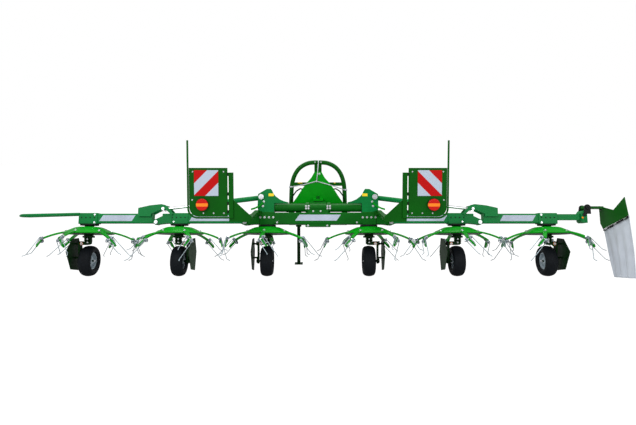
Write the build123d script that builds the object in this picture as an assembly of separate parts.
from build123d import *
import os

os.makedirs("parts", exist_ok=True)

# Driving dimensions in mm and degrees: +X right seen from behind, +Y travel, +Z up
TILT = 12.0              # rotors and beams lean forward, front edge low
BEAM_Z = 775.0           # height of the beam axis
CENTRE_X = 690.0         # rotor axes from the middle of the machine
INNER_X = 1885.0
OUTER_X = 3110.0
INNER_HINGE = (985.0, -55.0)    # along the beam, and below its axis
OUTER_HINGE = (2185.0, -50.0)
ARM_COUNT = 6
PHASES = [-10.0, 29.0, -2.0, 32.0, -2.0, 32.0]    # each rotor's first arm, from straight back toward +X

# Beams
CENTRE_BEAM = (150.0, 160.0)    # fore and aft, upright
WING_BEAM = (110.0, 132.0)
CENTRE_HALF = 920.0
HOUSE_RISE = 8.0         # gearbox above and below its beam
NECK_DEEP = 20.0
FOLD_GAP = 8.0           # each side of the cut where a wing folds up

# Rotor, in its own frame with its axis as Z and the beam axis as zero
COLUMN_R = 60.0
RUN_CLEARANCE = 1.0
HUB_TOP = -114.0
HUB_EDGE_R = 300.0
HUB_EDGE_W = -196.0
HUB_PLATE = 12.0
ARM_END_R = 572.0
ARM_END_W = -285.0
ARM_WIDE, ARM_DEEP = 50.0, 24.0
TINE_ROLL = 38.0         # how far the tine holders lean to trail the turn
TINE_WIRE = 9.5
COIL_R, COIL_LONG = 24.0, 34.0
COIL_GAP = 1.5
COIL_DROP = 6.0          # coil's middle below the holder's origin
TONGUE_HALF = 13.0
TONGUE_LONG = 150.0

# Wheels, 16 x 6.50-8
TYRE_R, TYRE_WIDE = 205.0, 165.0
TYRE_BEAD_R = 112.0
WHEEL_Y = -50.0
AXLE_R = 14.0
ARM_SIDE = 118.0         # leg arm beside the tyre, from its middle
GUARD_SIDE = 190.0

# Fold cylinders
CYL_BASE = (770.0, 290.0)       # across, and above the beam axis
CYL_HEAD = (2095.0, 130.0)
BARREL_R, ROD_R, BARREL_BORE = 34.0, 19.0, 20.0
BARREL_LONG = 700.0
FOLD_PIN_R = 17.0

# Headstock
SWING_Y = 330.0
LOWER_PIN_SPREAD = 825.0
LOWER_PIN_Y, LOWER_PIN_Z = 830.0, 780.0
TOP_PIN_Z = 1390.0
ARCH_TOP_Z = 1530.0
ARCH_FOOT_X = 415.0
ARCH_Y = 640.0

# Marker boards
BOARD_Y = -950.0
BOARD_IN, BOARD_OUT = 1055.0, 1505.0
BOARD_LOW, BOARD_HIGH = 925.0, 1495.0

# Side curtain at the right end
CURTAIN_PIN = (3650.0, 150.0)
CURTAIN_X = 3884.0

SIDES = {"left": -1, "right": 1}
ROTOR_X = [-OUTER_X, -INNER_X, -CENTRE_X, CENTRE_X, INNER_X, OUTER_X]
LEG_SIDE = [-1, 1, -1, 1, -1, 1]

BOX_MIDDLE = (-86.5, -54.0)    # middle of the overall box from the drive shaft's line and the beam

WORK = Location((0, 0, BEAM_Z), (-TILT, 0, 0))


def write(name, shape):
    """Saves one node as parts/NAME.step, about the middle of the whole machine's box."""
    placed = Pos(-BOX_MIDDLE[0], -BOX_MIDDLE[1], 0) * shape
    placed.label = name
    export_step(placed, f"parts/{name}.step")


def box(x0, x1, y0, y1, z0, z1):
    """A box between two corners."""
    size = (x1 - x0, y1 - y0, z1 - z0)
    return Pos((x0 + x1) / 2, (y0 + y1) / 2, (z0 + z1) / 2) * Box(*size)


def rod(start, end, radius):
    """A round bar from start to end."""
    a, b = Vector(start), Vector(end)
    plane = Plane(origin=a, z_dir=(b - a).normalized())
    return extrude(plane * Circle(radius), (b - a).length)


def plate(points, thickness, plane):
    """A flat plate from an outline, its thickness to both sides of the plane."""
    face = plane * make_face(Polyline(*points, close=True))
    return extrude(face, thickness / 2, both=True)


def joined(shapes):
    """Fuses shapes that touch into one solid."""
    first, *rest = shapes
    return first.fuse(*rest) if rest else first


def group(solids):
    """Keeps solids apart in one node."""
    flat = [s for shape in solids for s in shape.solids()]
    return Compound(children=flat)


# Rotors


def rotor_arm(turn):
    """One curved arm along +X, from under the hub plate to its tine holder, pared away beside the coils."""
    bend = (HUB_EDGE_R + 120, 0, HUB_EDGE_W - 24)
    path = ThreePointArc((170, 0, HUB_EDGE_W + 24), bend, (ARM_END_R, 0, ARM_END_W))
    start = Plane(origin=path @ 0, z_dir=path % 0, x_dir=(0, 1, 0))
    bar = sweep(start * RectangleRounded(ARM_WIDE, ARM_DEEP, 8), path)
    coil_room = Rot(90, 0, 0) * Cylinder(COIL_R + 2, 60)
    for side in (-1, 1):
        bar -= holder_frame(turn) * Pos(0, side * (TONGUE_HALF + 30), COIL_DROP) * coil_room
    return bar


def holder_frame(turn):
    """The tine holder's own frame at the arm's end: Z runs down along the tines."""
    roll = Location((0, 0, 0), (turn * TINE_ROLL, 0, 0))
    pitch = Location((0, 0, 0), (0, 160, 0))
    return Location((ARM_END_R - 12, 0, ARM_END_W)) * roll * pitch


def tongue(turn):
    """The flat tongue that the coils sit beside."""
    blade = Pos(0, 0, TONGUE_LONG / 2 - 20) * Box(16, 2 * TONGUE_HALF, TONGUE_LONG)
    return holder_frame(turn) * blade


def tine_pair(turn):
    """Two sprung tines of unequal length, their coils each side of the tongue."""
    solids = []
    for side, reach in ((1, 372), (-1, 268)):
        across = side * (TONGUE_HALF + COIL_GAP + COIL_LONG / 2)
        coil = Pos(0, across, COIL_DROP) * Rot(90, 0, 0) * Cylinder(COIL_R, COIL_LONG)
        top = Vector(-COIL_R + 5, side * (TONGUE_HALF + COIL_LONG - 4), COIL_DROP)
        bend = Vector(-COIL_R + 5, top.Y, reach - 50)
        tip = Vector(-COIL_R - 32, top.Y, reach - 12)
        wire = hex_wire([top, bend, tip])
        solids.append(joined([coil, wire]))
    return [holder_frame(turn) * s for s in solids]


def hex_wire(points):
    """A stiff wire through the points, six-sided to keep its mesh light."""
    path = Polyline(*points)
    start = Plane(origin=points[0], z_dir=(points[1] - points[0]).normalized())
    return sweep(start * RegularPolygon(TINE_WIRE / 2, 6), path, transition=Transition.RIGHT)


def rotor_hub(turn, phase):
    """Domed hub with its arms and tongues fused, open in the middle for the column."""
    bore = COLUMN_R + RUN_CLEARANCE
    profile = make_face([
        Line((bore, HUB_TOP - 10), (bore, HUB_TOP)),
        Line((bore, HUB_TOP), (130, HUB_TOP)),
        Spline((130, HUB_TOP), (215, -138), (HUB_EDGE_R + 30, HUB_EDGE_W), tangents=[(1, 0), (1, -0.62)]),
        Line((HUB_EDGE_R + 30, HUB_EDGE_W), (HUB_EDGE_R + 24, HUB_EDGE_W - HUB_PLATE)),
        Line((HUB_EDGE_R + 24, HUB_EDGE_W - HUB_PLATE), (HUB_EDGE_R - 110, HUB_EDGE_W - HUB_PLATE)),
        Line((HUB_EDGE_R - 110, HUB_EDGE_W - HUB_PLATE), (bore, HUB_EDGE_W - HUB_PLATE)),
        Line((bore, HUB_EDGE_W - HUB_PLATE), (bore, HUB_TOP - 10)),
    ])
    dome = revolve(Plane.XZ * profile, Axis.Z)
    arm = joined([rotor_arm(turn), tongue(turn)])
    arms = [Rot(0, 0, phase - 90 + 60 * k) * arm for k in range(ARM_COUNT)]
    return joined([dome] + arms)


def rotor_tines(turn, phase):
    """All tine pairs of one rotor."""
    pair = tine_pair(turn)
    return group([Rot(0, 0, phase - 90 + 60 * k) * s for k in range(ARM_COUNT) for s in pair])


# Wheels


def tyre():
    """A smooth balloon tyre about the X axis, open in the middle."""
    half = TYRE_WIDE / 2
    outline = make_face([
        Polyline((TYRE_BEAD_R, half - 34), (TYRE_BEAD_R, 34 - half)),
        Spline((TYRE_BEAD_R, 34 - half), (155, -half), (TYRE_R - 12, 24 - half), tangents=[(0.4, -1), (1, 1.6)]),
        ThreePointArc((TYRE_R - 12, 24 - half), (TYRE_R, 0), (TYRE_R - 12, half - 24)),
        Spline((TYRE_R - 12, half - 24), (155, half), (TYRE_BEAD_R, half - 34), tangents=[(-1, 1.6), (-0.4, -1)]),
    ])
    return Rot(0, 90, 0) * revolve(Plane.XZ * outline, Axis.Z)


def rim(side):
    """Pressed rim with a dished disc and a hub on the leg's side."""
    half = TYRE_WIDE / 2 - 34
    outline = make_face(Polyline(
        (AXLE_R + 0.5, -half + 6), (42, -half + 6), (46, -6), (98, -6), (98, -half), (TYRE_BEAD_R, -half),
        (TYRE_BEAD_R, half), (98, half), (98, 6), (40, 6), (36, half + 14), (AXLE_R + 0.5, half + 14), close=True))
    solid = revolve(Plane.XZ * outline, Axis.Z)
    return Rot(0, 90 * side, 0) * solid


def wheel_centre(index):
    return Vector(ROTOR_X[index], WHEEL_Y, TYRE_R)


def neck_low(index):
    """Underside of the neck below the rotor's gearbox."""
    beam = CENTRE_BEAM if index in (2, 3) else WING_BEAM
    return -beam[1] / 2 - HOUSE_RISE - NECK_DEEP


def wheel_leg(index):
    """Column through the rotor, toothed leg, side arm, axle and the guard plate."""
    side = LEG_SIDE[index]
    x = ROTOR_X[index]
    column = WORK * rod((x, 0, neck_low(index)), (x, 0, -236), COLUMN_R)
    foot = WORK * Pos(x, 0, 0) * Pos(0, 0, -245) * Cylinder(78, 22)
    c = wheel_centre(index)
    yz = Plane(origin=(x, 0, 0), x_dir=(0, 1, 0), z_dir=(1, 0, 0))
    top_z, top_y = 545.0, -48.0
    leg_points = [(top_y - 38, top_z), (top_y + 38, top_z), (top_y + 42, 470), (top_y + 26, 432), (top_y - 46, 432), (top_y - 42, 470)]
    leg = plate(leg_points, 56, yz)
    teeth = [Pos(x, top_y + s * 42, 476 + 18 * k) * Rot(45, 0, 0) * Box(44, 12, 12) for k in range(4) for s in (-1, 1)]
    shoulder = box(min(x, x + side * (ARM_SIDE + 10)), max(x, x + side * (ARM_SIDE + 10)), -86, -18, 428, 468)
    arm_plane = Plane(origin=(x + side * ARM_SIDE, 0, 0), x_dir=(0, 1, 0), z_dir=(1, 0, 0))
    arm = plate([(-88, 468), (-14, 468), (-8, 330), (-22, 178), (-74, 172), (-90, 260)], 22, arm_plane)
    axle_start = (x + side * (ARM_SIDE + 30), c.Y, c.Z)
    axle_end = (x - side * 66, c.Y, c.Z)
    axle = rod(axle_start, axle_end, AXLE_R)
    guard_plane = Plane(origin=(x + side * GUARD_SIDE, 0, 0), x_dir=(0, 1, 0), z_dir=(1, 0, 0))
    outline = [(-300, 380), (-120, 520), (60, 500), (120, 300), (20, 60), (-190, 120)]
    guard = plate(outline, 6, guard_plane)
    stay_low = rod((x + side * (ARM_SIDE + 8), -50, 250), (x + side * GUARD_SIDE, -50, 250), 12)
    stay_high = rod((x + side * (ARM_SIDE + 8), -50, 440), (x + side * GUARD_SIDE, -50, 440), 12)
    return joined([column, foot, leg, shoulder, arm, axle, guard, stay_low, stay_high] + teeth)


# Beams


def tube_beam(x0, x1, size):
    """A box beam along X with rounded long edges, in the leaning frame."""
    body = box(x0, x1, -size[0] / 2, size[0] / 2, -size[1] / 2, size[1] / 2)
    return fillet(body.edges().filter_by(Axis.X), 14)


def gearbox(x, wide, size):
    """Cast housing round a rotor's drive, with the black neck under it."""
    half = size[1] / 2 + HOUSE_RISE
    house = box(x - wide, x + wide, -size[0] / 2 - 9, size[0] / 2 + 9, -half, half)
    house = fillet(house.edges().filter_by(Axis.X), 10)
    neck = rod((x, 0, -half), (x, 0, -half - NECK_DEEP), 118)
    return [house, neck]


def fold_cut(s, facing):
    """The wedge cut off a beam's upper end so that the wing can stand upright."""
    hx, hw = s * INNER_HINGE[0], INNER_HINGE[1]
    away = facing * s
    near = hx - away * FOLD_GAP
    outline = [(near, hw), (near - away * 300, hw + 300), (near + away * 300, hw + 300), (near + away * 300, hw)]
    return plate(outline, 260, Plane(origin=(0, 0, 0), x_dir=(1, 0, 0), z_dir=(0, -1, 0)))


def centre_beam():
    solids = [tube_beam(-CENTRE_HALF, CENTRE_HALF, CENTRE_BEAM) - fold_cut(-1, 1) - fold_cut(1, 1)]
    solids += gearbox(-CENTRE_X, 92, CENTRE_BEAM) + gearbox(CENTRE_X, 92, CENTRE_BEAM)
    solids.append(box(-170, 170, -70, 70, -112, -78))
    for s in (-1, 1):
        hx, hw = s * INNER_HINGE[0], INNER_HINGE[1]
        for v in (-78, 78):
            cheek = Plane(origin=(0, v, 0), x_dir=(1, 0, 0), z_dir=(0, -1, 0))
            outline = [(s * (CENTRE_HALF - 130), -70), (s * (CENTRE_HALF - 130), 66), (s * CENTRE_HALF, 56),
                       (hx + s * 34, hw + 34), (hx + s * 34, hw - 30), (hx - s * 20, hw - 34)]
            solids.append(plate(outline, 14, cheek))
        solids.append(Pos(hx, 0, hw) * Rot(90, 0, 0) * Cylinder(FOLD_PIN_R, 190))
    return WORK * joined(solids)


def hinge_boss(x, w, length):
    """The tongue of a folding beam, bored for the hinge pin."""
    ring = Pos(x, 0, w) * Rot(90, 0, 0) * Cylinder(38, length)
    hole = Pos(x, 0, w) * Rot(90, 0, 0) * Cylinder(FOLD_PIN_R + 0.5, length + 10)
    return ring, hole


def inner_beam(s):
    """Inner wing beam: bored tongue inboard, pinned cheeks outboard."""
    x0, x1 = INNER_HINGE[0] + 62, OUTER_HINGE[0] - 78
    solids = [tube_beam(min(s * x0, s * x1), max(s * x0, s * x1), WING_BEAM) - fold_cut(s, -1)]
    solids += gearbox(s * INNER_X, 125, WING_BEAM)
    hx, hw = s * INNER_HINGE[0], INNER_HINGE[1]
    ring, hole = hinge_boss(hx, hw, 110)
    tongue_box = box(min(hx, s * (x0 + 10)), max(hx, s * (x0 + 10)), -55, 55, hw - 14, hw + 36)
    ox, ow = s * OUTER_HINGE[0], OUTER_HINGE[1]
    for v in (-62, 62):
        cheek = Plane(origin=(0, v, 0), x_dir=(1, 0, 0), z_dir=(0, -1, 0))
        outline = [(s * (x1 - 130), -60), (s * (x1 - 130), 40), (s * x1, 30), (ox + s * 28, ow + 30),
                   (ox + s * 28, ow - 26), (ox - s * 18, ow - 28)]
        solids.append(plate(outline, 12, cheek))
    solids.append(Pos(ox, 0, ow) * Rot(90, 0, 0) * Cylinder(FOLD_PIN_R, 156))
    return WORK * (joined(solids + [ring, tongue_box]) - hole)


def outer_beam(s):
    """Outer wing beam with the gooseneck that the fold cylinder pulls."""
    x0, x1 = OUTER_HINGE[0] + 58, OUTER_X + 130
    solids = [tube_beam(min(s * x0, s * x1), max(s * x0, s * x1), WING_BEAM)]
    solids += gearbox(s * OUTER_X, 125, WING_BEAM)
    ox, ow = s * OUTER_HINGE[0], OUTER_HINGE[1]
    ring, hole = hinge_boss(ox, ow, 100)
    tongue_box = box(min(ox, s * (x0 + 10)), max(ox, s * (x0 + 10)), -50, 50, ow - 12, ow + 32)
    base0, base1 = s * (OUTER_HINGE[0] + 70), s * (OUTER_HINGE[0] + 245)
    top = WING_BEAM[1] / 2
    for v in (-80, 80):
        side = Plane(origin=(0, v, 0), x_dir=(1, 0, 0), z_dir=(0, -1, 0))
        outline = [(base1, top - 40), (base1, top + 74), (s * 2270, top + 110), (s * 2120, top + 126), (s * 2062, top + 112),
                   (s * 1990, top + 42), (s * 1958, top - 4), (s * 1972, top - 22), (s * 2010, top + 8), (s * 2060, top + 52),
                   (s * 2130, top + 54), (s * 2190, top + 26), (base0, top - 8), (base0, top - 40)]
        solids.append(plate(outline, 12, side))
    deck = box(min(base0 + s * 20, base1), max(base0 + s * 20, base1), -86, 86, top - 2, top + 16)
    return WORK * (joined(solids + [ring, tongue_box, deck]) - hole)


def tower(s):
    """Tower at the end of the cross tube: it carries the fold cylinder's base pin."""
    top = CENTRE_BEAM[1] / 2 - 20
    solids = []
    for v in (-70, 70):
        side = Plane(origin=(0, v, 0), x_dir=(1, 0, 0), z_dir=(0, -1, 0))
        outline = [(s * 800, top), (s * 820, 150), (s * 815, 330), (s * 700, 400), (s * 640, 402), (s * 560, 300), (s * 430, 236),
                   (s * 400, 222), (s * 400, 150), (s * 540, top)]
        solids.append(plate(outline, 12, side))
    cap = box(min(s * 640, s * 700), max(s * 640, s * 700), -72, 72, 384, 400)
    block = box(min(s * 594, s * 690), max(s * 594, s * 690), -72, 72, top, 212)
    pin = Pos(s * CYL_BASE[0], 0, CYL_BASE[1]) * Rot(90, 0, 0) * Cylinder(FOLD_PIN_R, 190)
    return WORK * joined(solids + [cap, block, pin])


def cross_tube():
    """Round tube over the centre beam with the clamps of the swing bracket."""
    tube = Pos(0, 0, 150) * Rot(0, 90, 0) * Cylinder(58, 1176)
    clamps = [Pos(s * 145, 0, 150) * Rot(0, 90, 0) * Cylinder(74, 46) for s in (-1, 1)]
    pedestal = box(-140, 140, -66, 66, CENTRE_BEAM[1] / 2, 120)
    return WORK * joined([tube, pedestal] + clamps)


def cylinder_line(s):
    base = Vector(s * CYL_BASE[0], 0, CYL_BASE[1])
    head = Vector(s * CYL_HEAD[0], 0, CYL_HEAD[1])
    return base, head, (head - base).normalized(), (head - base).length


def barrel(s):
    base, head, run, length = cylinder_line(s)
    plane = Plane(origin=base, x_dir=(0, 1, 0), z_dir=run)
    tube = extrude(plane.offset(48) * Circle(BARREL_R), BARREL_LONG - 48)
    gland = extrude(plane.offset(BARREL_LONG - 42) * Circle(BARREL_R + 5), 42)
    eye = Pos(*base) * Rot(90, 0, 0) * Cylinder(36, 60)
    neck = extrude(plane * Rectangle(56, 44), 60)
    bore = extrude(plane.offset(70) * Circle(BARREL_BORE), BARREL_LONG)
    hole = Pos(*base) * Rot(90, 0, 0) * Cylinder(FOLD_PIN_R + 0.5, 80)
    return WORK * (joined([tube, gland, eye, neck]) - bore - hole)


def piston_rod(s):
    base, head, run, length = cylinder_line(s)
    plane = Plane(origin=base, x_dir=(0, 1, 0), z_dir=run)
    start = BARREL_LONG - 50
    bar = extrude(plane.offset(start) * Circle(ROD_R), length - start - 20)
    eye = Pos(*head) * Rot(90, 0, 0) * Cylinder(32, 56)
    hole = Pos(*head) * Rot(90, 0, 0) * Cylinder(FOLD_PIN_R - 2, 80)
    return WORK * (joined([bar, eye]) - hole)


# Marker boards


def board_carrier(s):
    """Arm back from the tower and the upright with its gusset."""
    arm = box(min(s * 790, s * 850), max(s * 790, s * 850), BOARD_Y + 10, -60, 860, 900)
    foot = box(min(s * 760, s * 850), max(s * 760, s * 850), -110, -30, 838, 890)
    upright = box(min(s * 990, s * 1042), max(s * 990, s * 1042), BOARD_Y - 4, BOARD_Y + 36, 905, 1440)
    plane = Plane(origin=(0, BOARD_Y + 16, 0), x_dir=(1, 0, 0), z_dir=(0, -1, 0))
    gusset = plate([(s * 780, 860), (s * 780, 925), (s * 990, 1120), (s * 1042, 1120), (s * 1042, 860)], 8, plane)
    x, low = s * (BOARD_OUT + 12), BOARD_LOW - 14
    path = FilletPolyline((x, BOARD_Y, 1815), (x, BOARD_Y, low), (s * 1030, BOARD_Y + 6, low), radius=110)
    start = Plane(origin=path @ 0, z_dir=path % 0)
    post = sweep(start * Circle(11), path)
    return joined([arm, foot, upright, gusset, post])


def board(s):
    """Marker board with a rounded lower outer corner."""
    plane = Plane(origin=(0, BOARD_Y + 6, 0), x_dir=(1, 0, 0), z_dir=(0, -1, 0))
    mid = (s * (BOARD_IN + BOARD_OUT) / 2, (BOARD_LOW + BOARD_HIGH) / 2)
    face = plane * Pos(*mid) * Rectangle(BOARD_OUT - BOARD_IN, BOARD_HIGH - BOARD_LOW)
    panel = extrude(face, 4, both=True)
    corner = panel.edges().filter_by(Axis.Y).sort_by(lambda e: s * e.center().X - e.center().Z / 2)[-1]
    panel = fillet(corner, 110)
    lugs = [box(min(s * 1043, s * 1062), max(s * 1043, s * 1062), BOARD_Y - 2, BOARD_Y + 10, z, z + 40) for z in (960, 1060, 1170, 1400)]
    return joined([panel] + lugs)


def chevron_square(s):
    cx, cz = s * 1303, 1318
    return box(cx - 141, cx + 141, BOARD_Y - 2.5, BOARD_Y + 2, cz - 150, cz + 150)


def lamp(s):
    body = Pos(s * 1350, BOARD_Y - 18, 1066) * Rot(90, 0, 0) * Cylinder(70, 32)
    return fillet(body.edges().sort_by(Axis.Y)[0], 10)


# Headstock


def headstock():
    """Arched tube, cross member and the mast that holds the top link."""
    foot, top = ARCH_FOOT_X, ARCH_TOP_Z
    left = [(-foot, ARCH_Y, 620), (-foot + 30, ARCH_Y, 1380), (-foot + 190, ARCH_Y, top)]
    right = [(-x, y, z) for x, y, z in reversed(left)]
    path = FilletPolyline(*left, *right, radius=110)
    start = Plane(origin=path @ 0, z_dir=path % 0)
    arch = sweep(start * Circle(32), path)
    cross = box(-390, 390, ARCH_Y - 28, ARCH_Y + 28, 1185, 1235)
    mast = [box(x - 9, x + 9, ARCH_Y - 20, 860, 1200, 1560) for x in (-45, 45)]
    top_hole = Pos(0, 800, TOP_PIN_Z) * Rot(0, 90, 0) * Cylinder(12.75, 200)
    return joined([arch, cross] + mast) - top_hole - stand_channel()


def headstock_arms():
    """Tie between the arch's legs, link plates on the vertical swing pin and the shield over them."""
    tie = box(-400, 400, ARCH_Y - 24, ARCH_Y + 24, 880, 940)
    arms = [box(-70, 70, SWING_Y - 60, ARCH_Y - 20, z, z + 26) for z in (868, 992)]
    back = box(-90, 90, ARCH_Y - 50, ARCH_Y - 20, 868, 1200)
    hole = Pos(0, SWING_Y, 900) * Cylinder(25.5, 400)
    return joined([tie, back, cover()] + arms) - hole - stand_channel()


def stand_channel():
    """The square way through the sleeve that the parking stand slides in."""
    return box(-316, -264, ARCH_Y + 15, ARCH_Y + 75, 500, 1300)


def headstock_base():
    """Lower cross member with the stand's sleeve and the lower link pins."""
    base = box(-430, 430, ARCH_Y - 45, ARCH_Y + 45, 600, 680)
    sleeve = box(-330, -250, ARCH_Y - 10, ARCH_Y + 90, 570, 860)
    lugs, pins = [], []
    shoulder = LOWER_PIN_SPREAD / 2
    for s in (-1, 1):
        for x in (shoulder - 41, shoulder - 9):
            lugs.append(box(s * x - 9, s * x + 9, ARCH_Y - 40, LOWER_PIN_Y + 46, 660, 850))
        inner, outer = (Vector(s * x, LOWER_PIN_Y, LOWER_PIN_Z) for x in (shoulder - 55, shoulder + 78))
        pins.append(rod(inner, outer, 14))
    return joined([base, sleeve] + lugs + pins) - stand_channel()


def swing_bracket():
    """Bracket from the beam to the vertical swing pin."""
    arm = box(-110, 110, 60, SWING_Y - 10, 905, 980)
    boss = Pos(0, SWING_Y, 943) * Cylinder(60, 86)
    pin = Pos(0, SWING_Y, 943) * Cylinder(25, 230)
    legs = [box(x - 10, x + 10, 62, 240, 760, 906) for x in (-112, 112)]
    return joined([arm, boss, pin] + legs)


def parking_stand():
    """Square leg in the headstock sleeve with its foot plate."""
    y = ARCH_Y + 45
    leg = box(-314, -266, y - 28, y + 28, 10, 880)
    foot = box(-350, -230, y - 60, y + 60, 0, 12)
    return joined([leg, foot])


def cover():
    """Bell-shaped shield over the swing pin, on the upper arm."""
    levels = [(370, 1030), (250, 1090), (150, 1170), (90, 1260), (62, 1340), (55, 1400)]
    right = [(x, z) for x, z in levels]
    left = [(-x, z) for x, z in reversed(levels)]
    plane = Plane(origin=(0, 500, 0), x_dir=(1, 0, 0), z_dir=(0, -1, 0))
    return plate([(370, 1018)] + right + left + [(-370, 1018)], 50, plane)


def input_drive():
    """Input gearbox on the centre beam with the splined shaft forward."""
    house = box(-95, 95, 70, 250, 690, 860)
    house = fillet(house.edges(), 18)
    shaft = rod((0, 240, 770), (0, 420, 770), 17.5)
    flange = rod((0, 240, 770), (0, 268, 770), 60)
    return joined([house, shaft, flange])


# Ends


def guard_hoop():
    """Tube hoop round the left end, out past the last rotor's tines."""
    x0 = -(OUTER_X + 120)
    path = FilletPolyline((x0, -60, 60), (-3980, -90, 40), (-4080, 0, 36), (-3980, 90, 40), (x0, 60, 60), radius=60)
    start = Plane(origin=path @ 0, z_dir=path % 0)
    return WORK * sweep(start * Circle(17), path)


def curtain_bracket():
    """Arm and joint block at the right end that carry the side curtain."""
    arm = box(OUTER_X + 131, 3580, -40, 40, -20, 60)
    block = box(3560, 3640, -70, 70, -60, 105)
    pin = Pos(CURTAIN_PIN[0], 0, CURTAIN_PIN[1]) * Rot(90, 0, 0) * Cylinder(14, 170)
    ears = [box(3600, 3680, v - 8, v + 8, 90, 190) for v in (-70, 70)]
    return WORK * joined([arm, block, pin] + ears)


def curtain_arm():
    """Hinged arm with the slanted plate that holds the curtain's top edge."""
    boss = Pos(CURTAIN_PIN[0], 0, CURTAIN_PIN[1]) * Rot(90, 0, 0) * Cylinder(30, 100)
    link = box(CURTAIN_PIN[0], CURTAIN_X - 2, -50, 50, 134, 166)
    plane = Plane(origin=(CURTAIN_X, 0, 0), x_dir=(0, 1, 0), z_dir=(1, 0, 0))
    panel = plate([(-565, 0), (-520, 235), (-263, 95), (60, 180), (60, -60), (9, -140)], 8, plane)
    hole = Pos(CURTAIN_PIN[0], 0, CURTAIN_PIN[1]) * Rot(90, 0, 0) * Cylinder(14.5, 200)
    return WORK * (joined([boss, link, panel]) - hole)


def curtain():
    """The hanging sheet, plain."""
    plane = Plane(origin=(CURTAIN_X + 7.3, 0, 0), x_dir=(0, 1, 0), z_dir=(1, 0, 0))
    return WORK * plate([(-565, 0), (9, -140), (9, -184), (-114, -780), (-560, -780)], 6, plane)


def centre_nodes():
    """What is fixed to the centre beam, each cut to seat on what it stands on."""
    beam, tube = centre_beam(), cross_tube()
    drive = input_drive() - beam - tube
    nodes = {"centre_beam": beam, "cross_tube": tube - beam, "input_drive": drive,
             "swing_bracket": swing_bracket() - beam - tube - drive}
    for name, s in SIDES.items():
        stand = tower(s) - beam - tube
        nodes[f"tower_{name}"] = stand
        nodes[f"board_carrier_{name}"] = board_carrier(s) - beam - stand
        nodes[f"board_{name}"] = board(s)
        nodes[f"chevron_square_{name}"] = chevron_square(s)
        nodes[f"lamp_{name}"] = lamp(s)
    return nodes


def main():
    for i, x in enumerate(ROTOR_X):
        turn = 1 if i % 2 == 0 else -1
        phase = PHASES[i]
        at = WORK * Pos(x, 0, 0)
        write(f"rotor_{i + 1}_arms", at * rotor_hub(turn, phase))
        write(f"rotor_{i + 1}_tines", at * rotor_tines(turn, phase))
        centre = Pos(*wheel_centre(i))
        write(f"tyre_{i + 1}", centre * tyre())
        write(f"rim_{i + 1}", centre * rim(LEG_SIDE[i]))
        write(f"wheel_leg_{i + 1}", wheel_leg(i))
    for name, shape in centre_nodes().items():
        write(name, shape)
    for name, s in SIDES.items():
        write(f"inner_beam_{name}", inner_beam(s))
        write(f"barrel_{name}", barrel(s))
        write(f"piston_rod_{name}", piston_rod(s))
    outer_left, outer_right = outer_beam(-1), outer_beam(1)
    write("outer_beam_left", outer_left)
    write("outer_beam_right", outer_right)
    base = headstock_base()
    write("headstock_base", base)
    arch = headstock() - base
    write("headstock", arch)
    write("headstock_arms", headstock_arms() - arch - base)
    write("parking_stand", parking_stand())
    write("guard_hoop", guard_hoop() - outer_left)
    write("curtain_bracket", curtain_bracket() - outer_right)
    write("curtain_arm", curtain_arm())
    write("curtain", curtain())


main()
